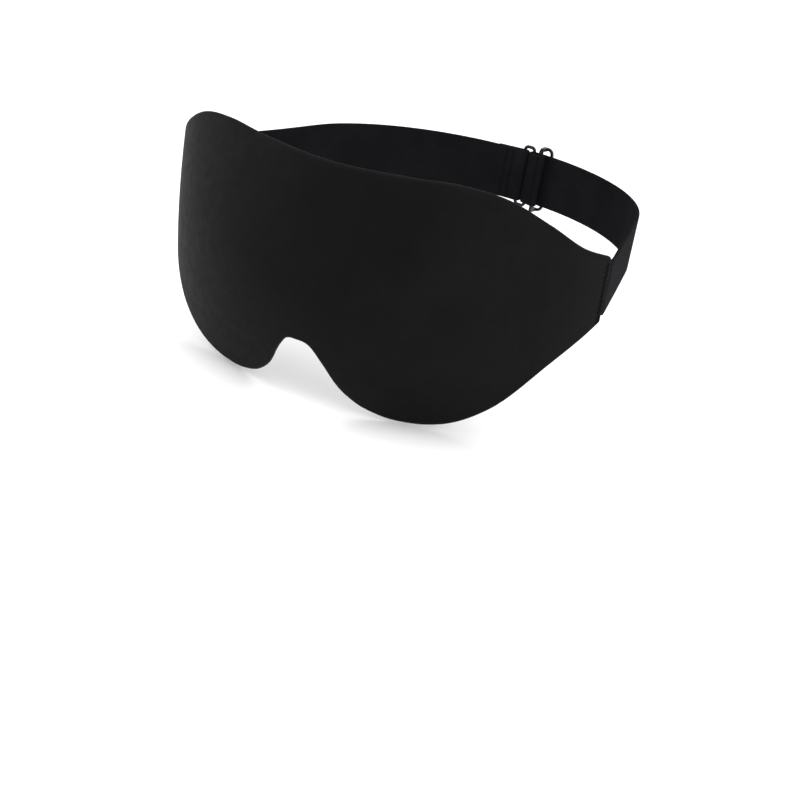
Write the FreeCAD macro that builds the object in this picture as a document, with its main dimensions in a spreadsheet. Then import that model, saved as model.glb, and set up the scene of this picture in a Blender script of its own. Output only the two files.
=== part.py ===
"""Contoured sleep eye mask with an adjustable elastic strap, modelled as it sits on a head.

Millimetres.  X runs across the face, Y from the brow towards the back of the head, Z up.
The origin is the middle of the front cover, level with the flat centreline of the mask.
"""
import math
import os

import FreeCAD
import Part
import Sketcher
from FreeCAD import Placement, Rotation, Vector

SIZES = [
    # alias, value, meaning
    ("half_length", 120.0, "middle of the mask to a tab end, along the cover"),
    ("front_radius", 94.4, "plan radius of the cover round the face"),
    ("bulge_span", 50.0, "height above and below the middle at which the next two are measured"),
    ("bulge_shear", -3.6, "how far the brow leans back at that height"),
    ("bulge_depth", 15.8, "how far the cover curls back at that height, above and below"),
    ("tab_lift", 10.0, "how much higher the tabs sit than the middle"),
    ("cover_thick", 0.7, "front cover fabric"),
    ("panel_thick", 1.2, "stiffening sheet behind the cover"),
    ("layer_gap", 0.15, "adhesive between one layer of the mask and the next"),
    ("rim_gap", 2.5, "room between cover and lining at the rim and in the tabs"),
    ("lining_thick", 0.5, "lining fabric"),
    ("padded_half_length", 106.0, "middle of the mask to the end of the foam"),
    ("pad_rise", 14.5, "foam height at the crest above the rim"),
    ("pad_reach", 56.0, "eye centre to the outer edge of the moulded foam"),
    ("shoulder", 11.0, "how quickly the foam rises from its edge"),
    ("side_softness", 1.7, "how much slower it rises towards the tabs"),
    ("nose_relief", 0.45, "share of the foam height left at the middle"),
    ("nose_half_width", 24.0, "middle of the mask to where the foam has its full height"),
    ("eye_offset", 48.3, "middle of the mask to a cup centre"),
    ("cup_half_width", 24.7, "cup floor, half its width"),
    ("cup_half_height", 19.8, "cup floor, half its height"),
    ("cup_foam", 1.0, "foam left under a cup floor, where the mould presses it thin"),
    ("bowl_foot", 1.05, "where the bowl's wall starts, as a share of the cup size"),
    ("bowl_spread", 0.66, "how far the wall takes to reach the crest, as a share of the cup size"),
    ("floor_thick", 1.0, "fabric disc on the cup floor"),
    ("strap_width", 23.0, "elastic webbing"),
    ("strap_thick", 1.2, "elastic webbing"),
    ("strap_drop", 5.0, "degrees that the strap slopes down towards the back"),
    ("strap_lift", 9.8, "height of the strap's centreline at the tabs"),
    ("strap_insert", 6.5, "webbing sewn inside each tab"),
    ("bend_radius", 10.0, "webbing turning inwards just behind a tab"),
    ("joint_gap", 2.0, "straight webbing between that bend and the moving strap"),
    ("hinge_y", 70.0, "where the strap swings up and down"),
    ("back_radius", 75.7, "plan radius of the strap behind the head"),
    ("back_centre", 118.3, "plan centre of that curve"),
    ("wire_thick", 1.4, "ring and slider section"),
    ("wrap_gap", 0.15, "webbing to the bar that it wraps"),
    ("ring_angle", 87.4, "degrees from X to the ring, round the back"),
    ("ring_width", 5.8, "ring across the webbing's run"),
    ("ring_height", 27.8, "ring, outside"),
    ("ring_corner", 2.1, "outer corner of the ring"),
    ("slider_angle", 82.4, "degrees from X to the slider at rest"),
    ("slider_width", 7.2, "slider across the webbing's run"),
    ("slider_height", 29.0, "slider, outside"),
    ("slider_corner", 3.0, "outer corner of the slider"),
    ("bar_drop", 2.9, "middle of the outer webbing to the slider's centre bar"),
    ("frame_rise", 1.6, "middle of the outer webbing to the slider's frame"),
    ("run_gap", 0.1, "webbing laid on webbing"),
    ("tail_length", 12.0, "left strap folded back behind the ring"),
    ("loop_tail", 2.9, "return layer folded back behind the slider bar"),
    ("stitch_length", 2.6, "one visible stitch"),
    ("stitch_thick", 0.35, "thread"),
    ("stitch_pitch", 2.3, "from one stitch of a zigzag to the next"),
    ("stitch_lean", 45.0, "degrees that a stitch leans, one way and then the other"),
    ("stitch_clear", 0.05, "thread to the fabric under it"),
    ("tab_row", 1.9, "tab end to the middle of its zigzag"),
    ("ring_row_near", 4.5, "ring bar to the nearer zigzag across the left strap"),
    ("ring_row_far", 7.5, "ring bar to the further one"),
    ("slider_row", 0.3, "slider bar to the zigzag across the folded return layer"),
]
# Outline of the flat mask: distance from the middle, height.
BROW_LINE = [(0, 48.9), (30, 49.0), (50, 47.8), (68, 43.1), (88, 32.1), (107, 19.4), (120, 13.2)]
CHIN_LINE = [(0, -18.0), (5, -19.2), (9.8, -26.0), (14.6, -34.8), (20, -40.7), (29, -45.5),
             (42, -47.4), (55, -46.2), (73, -39.3), (98, -23.3), (120, -13.2)]
COLUMNS = 48
TAB_COLUMNS = 6
ROWS = 36
EGG_STEPS = 28
EGG_TAPER = 0.3
EGG_SCALE = 1.02
STITCHES = 9

doc = FreeCAD.newDocument("sleep_mask")
sheet = doc.addObject("Spreadsheet::Sheet", "Sizes")
for row, (alias, value, meaning) in enumerate(SIZES, start=1):
    sheet.set("A%d" % row, alias)
    sheet.set("B%d" % row, str(value))
    sheet.set("C%d" % row, meaning)
    sheet.setAlias("B%d" % row, alias)
doc.recompute()

subparts = []


def size(alias):
    """A driving dimension from the sheet."""
    return float(sheet.get(alias))


def bind(obj, prop, expression):
    """Ties a property to the sheet; bare aliases are written with a leading @."""
    obj.setExpression(prop, expression.replace("@", "Sizes."))


# ---------------------------------------------------------------- shape of the mask

def along(points, distance):
    """Height of a smooth line through (distance, height) points, level at the middle."""
    last = len(points) - 1
    slopes = [0.0]
    for i in range(1, last):
        before, here, after = points[i - 1], points[i], points[i + 1]
        rise_in = (here[1] - before[1]) / (here[0] - before[0])
        rise_out = (after[1] - here[1]) / (after[0] - here[0])
        span_in, span_out = here[0] - before[0], after[0] - here[0]
        slopes.append((rise_in * span_out + rise_out * span_in) / (span_in + span_out))
    slopes.append((points[last][1] - points[last - 1][1]) / (points[last][0] - points[last - 1][0]))
    i = max(k for k in range(last) if points[k][0] <= distance)
    span = points[i + 1][0] - points[i][0]
    f = (distance - points[i][0]) / span
    return (points[i][1] * (2 * f ** 3 - 3 * f ** 2 + 1) + points[i + 1][1] * (3 * f ** 2 - 2 * f ** 3)
            + span * slopes[i] * (f ** 3 - 2 * f ** 2 + f) + span * slopes[i + 1] * (f ** 3 - f ** 2))


def cover_point(u, z):
    """Point of the cover's outer face, u along it from the middle and z up the flat mask."""
    angle = u / size("front_radius")
    share = math.cos(math.pi * u / (2 * size("half_length")))
    height = z / size("bulge_span")
    curl = (size("bulge_shear") * height + size("bulge_depth") * height ** 2) * share
    return Vector(size("front_radius") * math.sin(angle),
                  size("front_radius") * (1 - math.cos(angle)) + curl,
                  z + size("tab_lift") * (1 - share))


def inward(u, z):
    """Unit normal of the cover, towards the face."""
    step = 0.05
    across = cover_point(u + step, z) - cover_point(u - step, z)
    up = cover_point(u, z + step) - cover_point(u, z - step)
    normal = up.cross(across)
    normal.normalize()
    return normal


def layer_point(u, z, depth):
    return cover_point(u, z) + inward(u, z) * depth


def egg_reach(u, z):
    """0 at a cup's centre, 1 at the edge of its egg-shaped floor, growing outwards."""
    side = (abs(u) - size("eye_offset")) / size("cup_half_width")
    rise = z / size("cup_half_height")
    widening = max(0.4, 1 - EGG_TAPER * side)
    return math.sqrt(side ** 2 + EGG_SCALE * rise ** 2 / widening)


def smooth(fraction):
    fraction = min(1.0, max(0.0, fraction))
    return fraction * fraction * (3 - 2 * fraction)


def foam_height(u, z):
    """Foam above the panel: thin at the rim, crested round each cup, lower over the nose."""
    thin = size("rim_gap") - size("panel_thick") - 3 * size("layer_gap")
    above = along(BROW_LINE, abs(u)) - z
    below = z - along(CHIN_LINE, abs(u))
    beside = size("pad_reach") - math.hypot(max(0.0, abs(u) - size("eye_offset")), z)
    nearest = min(above, below, beside)
    if nearest <= 0.01:
        return thin
    inset = 1.0 / (1.0 / above + 1.0 / below + size("side_softness") / beside)
    short = 1.0 - min(1.0, inset / size("shoulder"))
    nose = size("nose_relief") + (1 - size("nose_relief")) * smooth(abs(u) / size("nose_half_width"))
    crest = thin + size("pad_rise") * nose * (1 - short ** 2)
    pressed = min(size("cup_foam"), crest)
    outside = (egg_reach(u, z) - size("bowl_foot")) / size("bowl_spread")
    climb = math.sin(math.pi / 2 * min(1.0, max(0.0, outside)))
    return pressed + (crest - pressed) * climb


def at_front(u, z):
    return 0.0


def at_cover_back(u, z):
    return size("cover_thick")


def at_panel_front(u, z):
    return at_cover_back(u, z) + size("layer_gap")


def at_panel_back(u, z):
    return at_panel_front(u, z) + size("panel_thick")


def at_foam_front(u, z):
    return at_panel_back(u, z) + size("layer_gap")


def at_foam_back(u, z):
    return at_foam_front(u, z) + foam_height(u, z)


def at_lining_front(u, z):
    if abs(u) > size("padded_half_length"):
        return at_cover_back(u, z) + size("rim_gap")
    return at_foam_back(u, z) + size("layer_gap")


def at_lining_back(u, z):
    return at_lining_front(u, z) + size("lining_thick")


def at_floor_front(u, z):
    return at_lining_back(u, z) + size("layer_gap")


def at_floor_back(u, z):
    return at_floor_front(u, z) + size("floor_thick")


def columns(half_length):
    """Distances from the middle: evenly spaced over the foam, then over the tabs."""
    half = [size("padded_half_length") * i / COLUMNS for i in range(COLUMNS + 1)]
    spare = half_length - half[-1]
    if spare > 0:
        half += [half[COLUMNS] + spare * k / TAB_COLUMNS for k in range(1, TAB_COLUMNS + 1)]
    return [-u for u in reversed(half[1:])] + half


def spline_poles(points):
    """Poles of the smooth cubic through evenly numbered points, straight at its two ends."""
    last = len(points) - 1
    weights = [0.0]
    sums = [points[0]]
    for i in range(1, last):
        weight = 1 / (4 - weights[-1])
        sums.append((points[i] * 6 - sums[-1]) * weight)
        weights.append(weight)
    inner = [points[last]]
    for i in range(last - 1, 0, -1):
        inner.append(sums[i] - inner[-1] * weights[i])
    inner.append(points[0])
    inner.reverse()
    near_start = (inner[0] * 2 + inner[1]) * (1 / 3)
    near_end = (inner[last] * 2 + inner[last - 1]) * (1 / 3)
    return [points[0], near_start] + inner[1:last] + [near_end, points[last]]


def face_at(depth, half_length):
    """A smooth face over the outline, at a depth that is a function of the place."""
    grid = []
    for u in columns(half_length):
        low, high = along(CHIN_LINE, abs(u)), along(BROW_LINE, abs(u))
        column = []
        for k in range(ROWS + 1):
            z = low + (high - low) * k / ROWS
            column.append(layer_point(u, z, depth(u, z)))
        grid.append(spline_poles(column))
    rows = [spline_poles(row) for row in zip(*grid)]
    poles = [list(column) for column in zip(*rows)]
    knots_across = list(range(len(grid)))
    knots_up = list(range(ROWS + 1))
    surface = Part.BSplineSurface()
    surface.buildFromPolesMultsKnots(poles, [4] + [1] * (len(grid) - 2) + [4], [4] + [1] * (ROWS - 1) + [4],
                                     knots_across, knots_up, False, False, 3, 3)
    return surface.toShape()


def slab(front_depth, back_depth, half_length):
    """The solid between two depths, closed round its rim by ruled faces."""
    front = face_at(front_depth, half_length)
    back = face_at(back_depth, half_length)
    sides = []
    for near, far in zip(front.Edges, back.Edges):
        sides.append(Part.makeRuledSurface(near, far))
    shell = Part.makeShell([front, back] + sides)
    shell.sewShape()
    solid = Part.makeSolid(Part.Shell(shell.Faces))
    if solid.Volume < 0:
        solid.reverse()
    return solid


def egg_column(side):
    """Egg-shaped prism through a cup's floor."""
    centre = layer_point(side * size("eye_offset"), 0, 0)
    axis = inward(side * size("eye_offset"), 0)
    up = Vector(0, 0, 1)
    up = up - axis * up.dot(axis)
    up.normalize()
    outward = up.cross(axis) * side
    if outward.x * side < 0:
        outward = outward * -1
    before, through = 8.0, 45.0
    outline = []
    for k in range(EGG_STEPS):
        turn = 2 * math.pi * k / EGG_STEPS
        widening = math.sqrt((1 - EGG_TAPER * math.cos(turn)) / EGG_SCALE)
        across = size("cup_half_width") * math.cos(turn)
        rise = size("cup_half_height") * math.sin(turn) * widening
        outline.append(centre - axis * before + outward * across + up * rise)
    curve = Part.BSplineCurve()
    curve.interpolate(outline, PeriodicFlag=True)
    profile = Part.Face(Part.Wire(curve.toShape()))
    return profile.extrude(axis * through)


def add_feature(label, shape):
    """A sub-part that only a free-form shape can give."""
    feature = doc.addObject("Part::Feature", label)
    feature.Label = label
    feature.Shape = shape
    feature.Placement = Placement()
    subparts.append(feature)
    return feature


def build_mask_layers():
    full = size("half_length")
    padded = size("padded_half_length")
    add_feature("front_cover", slab(at_front, at_cover_back, full))
    add_feature("front_panel", slab(at_panel_front, at_panel_back, padded))
    add_feature("foam_pad", slab(at_foam_front, at_foam_back, padded))
    add_feature("face_lining", slab(at_lining_front, at_lining_back, full))
    floors = slab(at_floor_front, at_floor_back, padded)
    for name, side in (("left", -1), ("right", 1)):
        add_feature("cup_floor_" + name, floors.common(egg_column(side)))


# ---------------------------------------------------------------- straps

def polar(radius, degrees, centre=(0.0, 0.0)):
    angle = math.radians(degrees)
    return (centre[0] + radius * math.cos(angle), centre[1] + radius * math.sin(angle))


def arc(centre, radius, start, end, radius_rule):
    """Part of a route: an arc from one bearing to another, in degrees, either way round."""
    return {"centre": centre, "radius": radius, "start": start, "end": end, "rule": radius_rule}


def line(start, end):
    return {"from": start, "to": end}


def tab_route():
    """Plan route of the right strap from inside its tab to the start of the back curve."""
    plan_centre = (0.0, size("front_radius"))
    depth = size("cover_thick") + size("rim_gap") / 2
    radius = size("front_radius") - depth
    tab_end = math.degrees(size("half_length") / size("front_radius")) - 90
    first = math.degrees((size("half_length") - size("strap_insert")) / size("front_radius")) - 90
    bend_centre = polar(radius - size("bend_radius"), tab_end, plan_centre)
    return plan_centre, radius, first, tab_end, bend_centre


def side_line(outer_radius):
    """Bearing of the straight stretch's normal, and its ends, for a back curve's radius."""
    bend_centre = tab_route()[-1]
    back = (0.0, size("back_centre"))
    gap = math.hypot(back[0] - bend_centre[0], back[1] - bend_centre[1])
    rise = outer_radius - size("bend_radius")
    run = math.sqrt(gap ** 2 - rise ** 2)
    heading = math.atan2(back[1] - bend_centre[1], back[0] - bend_centre[0]) - math.atan2(rise, run)
    normal = math.degrees(heading) - 90
    start = polar(size("bend_radius"), normal, bend_centre)
    end = polar(outer_radius, normal, back)
    return normal, start, end


def mirrored(route):
    """The same route on the other side, travelled the other way."""
    flipped = []
    for piece in reversed(route):
        if "radius" in piece:
            flipped.append(arc((-piece["centre"][0], piece["centre"][1]), piece["radius"],
                               180 - piece["end"], 180 - piece["start"], piece["rule"]))
        else:
            flipped.append(line((-piece["to"][0], piece["to"][1]), (-piece["from"][0], piece["from"][1])))
    return flipped


def local(point):
    return Vector(point[0], point[1] - size("hinge_y"), 0)


def add_chain(sketch, route, side):
    """Adds a route moved sideways by half the webbing; +1 is to the left of the route."""
    half = size("strap_thick") / 2
    chain = []
    for piece in route:
        if "radius" in piece:
            turns_left = piece["end"] > piece["start"]
            grow = -side if turns_left else side
            radius = piece["radius"] + grow * half
            low, high = sorted((piece["start"], piece["end"]))
            circle = Part.Circle(local(piece["centre"]), Vector(0, 0, 1), radius)
            index = sketch.addGeometry(Part.ArcOfCircle(circle, math.radians(low), math.radians(high)))
            ends = (1, 2) if turns_left else (2, 1)
            rule = "%s %s @strap_thick / 2" % (piece["rule"], "+" if grow > 0 else "-")
            chain.append((index, ends, radius, rule))
        else:
            dx, dy = piece["to"][0] - piece["from"][0], piece["to"][1] - piece["from"][1]
            length = math.hypot(dx, dy)
            shift = Vector(-dy / length, dx / length, 0) * (half * side)
            segment = Part.LineSegment(local(piece["from"]) + shift, local(piece["to"]) + shift)
            chain.append((sketch.addGeometry(segment), (1, 2), None, None))
    return chain


def add_webbing(label, route):
    """Webbing as a sketch of its edge, padded to the strap's width."""
    body = doc.addObject("PartDesign::Body", label)
    body.Label = label
    sketch = new_sketch(body, "XY_Plane", label + "_route")
    left = add_chain(sketch, route, 1)
    right = add_chain(sketch, route, -1)
    for chain in (left, right):
        for (this, this_ends, _, _), (after, after_ends, _, _) in zip(chain, chain[1:]):
            sketch.addConstraint(Sketcher.Constraint("Coincident", this, this_ends[1], after, after_ends[0]))
    for end, which in ((0, 0), (-1, 1)):
        a, b = left[end], right[end]
        cap = sketch.addGeometry(Part.LineSegment(sketch.getPoint(a[0], a[1][which]),
                                                  sketch.getPoint(b[0], b[1][which])))
        sketch.addConstraint(Sketcher.Constraint("Coincident", cap, 1, a[0], a[1][which]))
        sketch.addConstraint(Sketcher.Constraint("Coincident", cap, 2, b[0], b[1][which]))
    for index, _, radius, rule in left + right:
        if rule:
            number = sketch.addConstraint(Sketcher.Constraint("Radius", index, radius))
            bind(sketch, "Constraints[%d]" % number, rule)
    pad = body.newObject("PartDesign::Pad", label + "_width")
    pad.Profile = sketch
    pad.SideType = "Symmetric"
    bind(pad, "Length", "@strap_width")
    body.Placement = strap_frame()
    subparts.append(body)
    return body


def new_sketch(body, role, name):
    sketch = body.newObject("Sketcher::SketchObject", name)
    plane = [f for f in body.Origin.OriginFeatures if f.Role == role][0]
    sketch.AttachmentSupport = [(plane, "")]
    sketch.MapMode = "FlatFace"
    return sketch


def strap_frame():
    """Where the strap's own frame sits: on the line between the tabs, sloping to the back."""
    return Placement(Vector(0, size("hinge_y"), size("strap_lift")),
                     Rotation(Vector(1, 0, 0), -size("strap_drop")))


def webbing_layout():
    """Radii and bearings of the layers round the ring and the slider."""
    wrap = size("wire_thick") / 2 + size("wrap_gap") + size("strap_thick") / 2
    half_bars = (size("ring_width") - size("wire_thick")) / 2
    bars_radius = math.hypot(size("back_radius"), half_bars)
    swing = math.degrees(math.atan2(half_bars, size("back_radius")))
    back = (0.0, size("back_centre"))
    right_bar = polar(bars_radius, size("ring_angle") - swing, back)
    left_bar = polar(bars_radius, size("ring_angle") + swing, back)
    outer = bars_radius + wrap
    slider_bar = polar(outer - size("bar_drop"), size("slider_angle"), back)
    return {"wrap": wrap, "back": back, "outer": outer, "inner": bars_radius - wrap,
            "right_bar": right_bar, "left_bar": left_bar, "slider_bar": slider_bar,
            "right_bearing": size("ring_angle") - swing, "left_bearing": size("ring_angle") + swing}


BARS_RULE = "sqrt(@back_radius ^ 2 + ((@ring_width - @wire_thick) / 2) ^ 2)"
WRAP_RULE = "(@wire_thick / 2 + @wrap_gap + @strap_thick / 2)"


def build_straps():
    lay = webbing_layout()
    wrap, back = lay["wrap"], lay["back"]
    plan_centre, tab_radius, first, tab_end, bend_centre = tab_route()

    def end_route(radius):
        """Sewn end: inside the tab, round the bend and a little way along the straight."""
        normal, start, end = side_line(radius)
        share = size("joint_gap") / math.hypot(end[0] - start[0], end[1] - start[1])
        split = (start[0] + (end[0] - start[0]) * share, start[1] + (end[1] - start[1]) * share)
        tab_rule = "(@front_radius - @cover_thick - @rim_gap / 2)"
        pieces = [arc(plan_centre, tab_radius, first, tab_end, tab_rule),
                  arc(bend_centre, size("bend_radius"), tab_end, normal, "@bend_radius"),
                  line(start, split)]
        return pieces, split, end, normal

    right_end, right_split, right_tangent, right_normal = end_route(lay["outer"])
    left_end, left_split, left_tangent, left_normal = end_route(lay["inner"])
    add_webbing("strap_end_right", right_end)
    add_webbing("strap_end_left", mirrored(left_end))

    ring_x, ring_y = lay["right_bar"]
    bar_x, bar_y = lay["slider_bar"]
    return_heading = math.degrees(math.atan2(bar_y - ring_y, bar_x - ring_x))
    return_start = polar(wrap, return_heading - 90, lay["right_bar"])
    return_end = polar(wrap, return_heading - 90, lay["slider_bar"])
    add_webbing("strap_right", [
        line(right_split, right_tangent),
        arc(back, lay["outer"], right_normal, lay["right_bearing"], BARS_RULE + " + " + WRAP_RULE),
        arc(lay["right_bar"], wrap, lay["right_bearing"], return_heading - 90 + 360, WRAP_RULE)])
    add_webbing("strap_return", [line(return_start, return_end)])

    tail_start = polar(wrap, size("slider_angle"), lay["slider_bar"])
    tail_end = polar(size("loop_tail"), size("slider_angle") + 90, tail_start)
    add_webbing("slider_loop", [
        arc(lay["slider_bar"], wrap, return_heading - 90, size("slider_angle"), WRAP_RULE),
        line(tail_start, tail_end)])

    laid_on = lay["inner"] + size("strap_thick") + size("run_gap")
    bars_radius = lay["inner"] + wrap
    run = math.sqrt(bars_radius ** 2 - (laid_on - wrap) ** 2)
    fold = lay["left_bearing"] - math.degrees(math.atan2(run, laid_on - wrap))
    fold_start = polar(wrap, lay["left_bearing"] + (lay["left_bearing"] - fold), lay["left_bar"])
    tail_bearing = 2 * lay["left_bearing"] - fold
    tail_from = polar(size("tail_length"), tail_bearing + 90, fold_start)
    add_webbing("strap_left", [
        line(tail_from, fold_start),
        arc(lay["left_bar"], wrap, tail_bearing, lay["left_bearing"] - 180, WRAP_RULE),
        arc(back, lay["inner"], lay["left_bearing"], 180 - left_normal, BARS_RULE + " - " + WRAP_RULE),
        line((-left_tangent[0], left_tangent[1]), (-left_split[0], left_split[1]))])


# ---------------------------------------------------------------- ring and slider

def rounded_rectangle(sketch, width_rule, height_rule, corner_rule):
    """Adds a rounded rectangle round the sketch's origin, its sides bound to the sheet."""
    width, height, corner = [rule_value(r) for r in (width_rule, height_rule, corner_rule)]
    x, y = width / 2, height / 2
    corners = [(x - corner, y - corner, 0), (corner - x, y - corner, 90),
               (corner - x, corner - y, 180), (x - corner, corner - y, 270)]
    arcs = []
    for cx, cy, start in corners:
        circle = Part.Circle(Vector(cx, cy, 0), Vector(0, 0, 1), corner)
        quarter = Part.ArcOfCircle(circle, math.radians(start), math.radians(start + 90))
        arcs.append(sketch.addGeometry(quarter))
    sides = []
    for this, after in zip(arcs, arcs[1:] + arcs[:1]):
        segment = Part.LineSegment(sketch.getPoint(this, 2), sketch.getPoint(after, 1))
        sides.append(sketch.addGeometry(segment))
        sketch.addConstraint(Sketcher.Constraint("Tangent", this, 2, sides[-1], 1))
        sketch.addConstraint(Sketcher.Constraint("Tangent", sides[-1], 2, after, 1))
    for arc_index in arcs[1:]:
        sketch.addConstraint(Sketcher.Constraint("Equal", arcs[0], arc_index))
    top, left, bottom, right = sides
    sketch.addConstraint(Sketcher.Constraint("Horizontal", top))
    sketch.addConstraint(Sketcher.Constraint("Vertical", left))
    half_width, half_height = "(%s) / 2" % width_rule, "(%s) / 2" % height_rule
    for constraint, rule in (
            (Sketcher.Constraint("Radius", arcs[0], corner), corner_rule),
            (Sketcher.Constraint("DistanceY", -1, 1, top, 1, y), half_height),
            (Sketcher.Constraint("DistanceY", bottom, 1, -1, 1, y), half_height),
            (Sketcher.Constraint("DistanceX", -1, 1, right, 1, x), half_width),
            (Sketcher.Constraint("DistanceX", left, 1, -1, 1, x), half_width)):
        number = sketch.addConstraint(constraint)
        bind(sketch, "Constraints[%d]" % number, rule)


def rule_value(rule):
    """Value of a sum or difference of aliases, such as @ring_width - 2 * @wire_thick."""
    total, sign, factor = 0.0, 1.0, 1.0
    for word in rule.split():
        if word in "+-":
            sign, factor = (1.0 if word == "+" else -1.0), 1.0
        elif word == "*":
            continue
        elif word.startswith("@"):
            total += sign * factor * size(word[1:])
        else:
            factor = float(word)
    return total


def add_frame(body, name, width, height, corner):
    """A flat moulded frame in the body's XZ plane with rounded outer and inner outlines."""
    sketch = new_sketch(body, "XZ_Plane", name + "_outline")
    rounded_rectangle(sketch, width, height, corner)
    rounded_rectangle(sketch, width + " - 2 * @wire_thick", height + " - 2 * @wire_thick",
                      corner + " - 1 * @wire_thick")
    pad = body.newObject("PartDesign::Pad", name + "_frame")
    pad.Profile = sketch
    pad.SideType = "Symmetric"
    bind(pad, "Length", "@wire_thick")
    return pad


def arc_frame(bearing, radius):
    """Placement on the back curve: local X along it to the right, local Y outwards."""
    x, y = polar(radius, bearing, (0.0, size("back_centre")))
    spot = Placement(Vector(x, y - size("hinge_y"), 0), Rotation(Vector(0, 0, 1), bearing - 90))
    return strap_frame().multiply(spot)


def round_edges(body, base, name, radius_rule, wanted):
    doc.recompute()
    edges = ["Edge%d" % (i + 1) for i, edge in enumerate(base.Shape.Edges) if wanted(edge)]
    fillet = body.newObject("PartDesign::Fillet", name)
    fillet.Base = (base, edges)
    bind(fillet, "Radius", radius_rule)
    return fillet


def build_ring():
    body = doc.addObject("PartDesign::Body", "ring")
    body.Label = "ring"
    pad = add_frame(body, "ring", "@ring_width", "@ring_height", "@ring_corner")
    round_edges(body, pad, "ring_rounding", "@wire_thick * 0.4", is_along_frame)
    body.Placement = arc_frame(size("ring_angle"), size("back_radius"))
    subparts.append(body)


def is_along_frame(edge):
    """True for the edges that run round the frame's two faces."""
    return edge.BoundBox.YLength < 1e-6


def build_slider():
    body = doc.addObject("PartDesign::Body", "slider")
    body.Label = "slider"
    frame = add_frame(body, "slider", "@slider_width", "@slider_height", "@slider_corner")
    round_edges(body, frame, "slider_rounding", "@wire_thick * 0.4", is_along_frame)
    # Centre bar: a bow towards the head, joined to the frame above and below the webbing.
    # In the YZ plane's sketch, x is the body's Y and y is its Z.
    sketch = new_sketch(body, "YZ_Plane", "centre_bar_outline")
    thick = size("wire_thick")
    reach = size("bar_drop") + size("frame_rise")
    half = size("slider_height") / 2
    corners = [(0, half), (-reach - thick / 2, half), (-reach - thick / 2, -half), (0, -half),
               (0, thick - half), (thick / 2 - reach, thick - half),
               (thick / 2 - reach, half - thick), (0, half - thick)]
    sides = []
    for here, after in zip(corners, corners[1:] + corners[:1]):
        sides.append(sketch.addGeometry(Part.LineSegment(Vector(*here, 0), Vector(*after, 0))))
    for this, after in zip(sides, sides[1:] + sides[:1]):
        sketch.addConstraint(Sketcher.Constraint("Coincident", this, 2, after, 1))
    for index in (0, 2, 4, 6):
        sketch.addConstraint(Sketcher.Constraint("Horizontal", sides[index]))
    for index in (1, 5):
        sketch.addConstraint(Sketcher.Constraint("Vertical", sides[index]))
    for first, second, value, rule in (
            ((-1, 1), (sides[0], 1), half, "@slider_height / 2"),
            ((sides[2], 2), (-1, 1), half, "@slider_height / 2"),
            ((-1, 1), (sides[6], 2), half - thick, "@slider_height / 2 - @wire_thick"),
            ((sides[4], 1), (-1, 1), half - thick, "@slider_height / 2 - @wire_thick")):
        number = sketch.addConstraint(Sketcher.Constraint("DistanceY", *first, *second, value))
        bind(sketch, "Constraints[%d]" % number, rule)
    for corner, value, rule in (
            ((sides[1], 1), reach + thick / 2, "@bar_drop + @frame_rise + @wire_thick / 2"),
            ((sides[5], 1), reach - thick / 2, "@bar_drop + @frame_rise - @wire_thick / 2")):
        number = sketch.addConstraint(Sketcher.Constraint("DistanceX", *corner, -1, 1, value))
        bind(sketch, "Constraints[%d]" % number, rule)
    bar = body.newObject("PartDesign::Pad", "centre_bar")
    bar.Profile = sketch
    bar.SideType = "Symmetric"
    bind(bar, "Length", "@wire_thick")
    round_edges(body, bar, "centre_bar_rounding", "@wire_thick * 0.4", is_bar_edge)
    lay = webbing_layout()
    body.Placement = arc_frame(size("slider_angle"), lay["outer"] + size("frame_rise"))
    subparts.append(body)


def is_bar_edge(edge):
    """True for the four long edges of the centre bar."""
    middle = edge.BoundBox.Center
    return (edge.BoundBox.ZLength > size("strap_width") and middle.y < -size("bar_drop")
            and abs(abs(middle.x) - size("wire_thick") / 2) < 1e-3)


# ---------------------------------------------------------------- stitching

def zigzag(placement_at):
    """Placements of one row of stitches; placement_at gives the one at a height, facing out by Y."""
    places = []
    for k in range(STITCHES):
        rise = (k - (STITCHES - 1) / 2) * size("stitch_pitch")
        lean = size("stitch_lean") if k % 2 else -size("stitch_lean")
        places.append(placement_at(rise).multiply(Placement(Vector(), Rotation(Vector(0, 1, 0), lean))))
    return places


def add_stitches(label, places):
    """A group of separate stitches, each a short flat bar of thread at a placement."""
    threads = []
    for number, place in enumerate(places, start=1):
        thread = doc.addObject("Part::Box", "%s_%d" % (label, number))
        bind(thread, "Length", "@stitch_thick")
        bind(thread, "Width", "@stitch_thick")
        bind(thread, "Height", "@stitch_length")
        half = size("stitch_thick") / 2
        centred = Placement(Vector(-half, -half, -size("stitch_length") / 2), Rotation())
        thread.Placement = place.multiply(centred)
        threads.append(thread)
    group = doc.addObject("Part::Compound", label)
    group.Label = label
    group.Links = threads
    subparts.append(group)


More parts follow.
